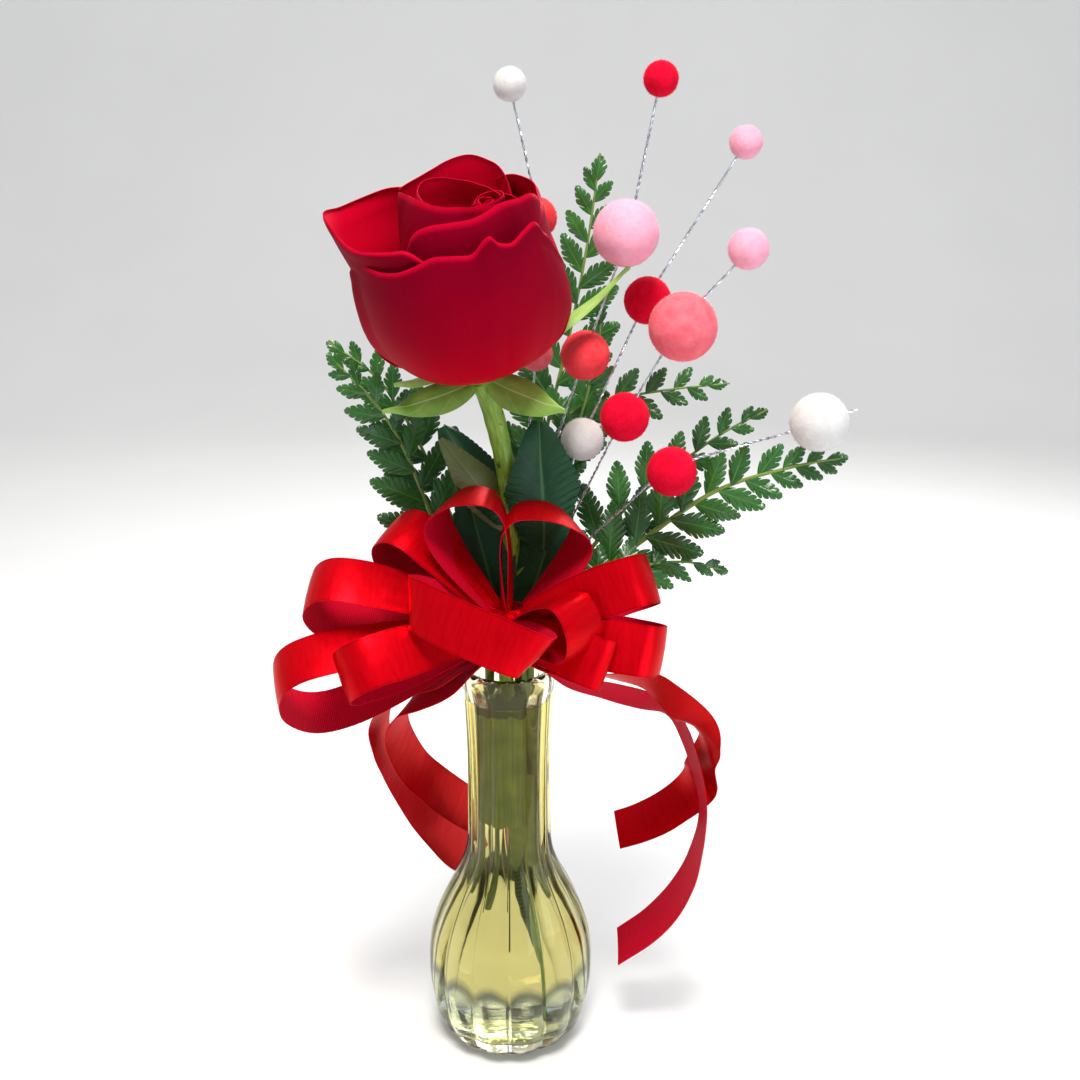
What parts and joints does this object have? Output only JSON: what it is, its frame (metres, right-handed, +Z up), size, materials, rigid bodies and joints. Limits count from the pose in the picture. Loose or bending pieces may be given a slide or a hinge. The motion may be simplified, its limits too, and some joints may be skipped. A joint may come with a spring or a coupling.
{
  "type": "rose in a bud vase",
  "caption": "Open red rose with fern, felt balls on wires and a satin ribbon bow with long tails, standing in a fluted clear glass bud vase of water.",
  "frame": {"origin": "centre of the vase's foot, on the surface it stands on", "axes": "+Z up the vase and the rose, -Y towards the front that the bow and the rose face, +X to the right seen from the front"},
  "size_m": [0.2574, 0.1318, 0.4625],
  "materials": {
    "glass": "gloss",
    "water": "gloss",
    "petal": "matte",
    "stem": "satin",
    "fern": "satin",
    "ribbon": "satin",
    "wire": "satin",
    "ball_red": "matte",
    "ball_coral": "matte",
    "ball_pink": "matte",
    "ball_white": "matte"
  },
  "bodies": {
    "root": {"vase": "glass", "water": "water", "rose_bloom": "petal", "rose_stem": "stem", "neck_leaf": "stem", "frond_1": "fern", "frond_2": "fern", "frond_3": "fern", "frond_4": "fern", "frond_5": "fern", "frond_6": "fern", "frond_7": "fern", "frond_8": "fern", "pick_wires": "wire", "ball_01": "ball_coral", "ball_02": "ball_pink", "ball_03": "ball_red", "ball_04": "ball_white", "ball_05": "ball_red", "ball_06": "ball_pink", "ball_07": "ball_red", "ball_08": "ball_pink", "ball_09": "ball_pink", "ball_10": "ball_red", "ball_11": "ball_white", "ball_12": "ball_pink", "ball_13": "ball_coral", "ball_14": "ball_white", "ribbon_bow": "ribbon", "tail_right_short": "ribbon", "tail_right_long": "ribbon", "tail_left_short": "ribbon", "tail_left_long": "ribbon", "bow_tie": "ribbon"}
  },
  "joints": []
}
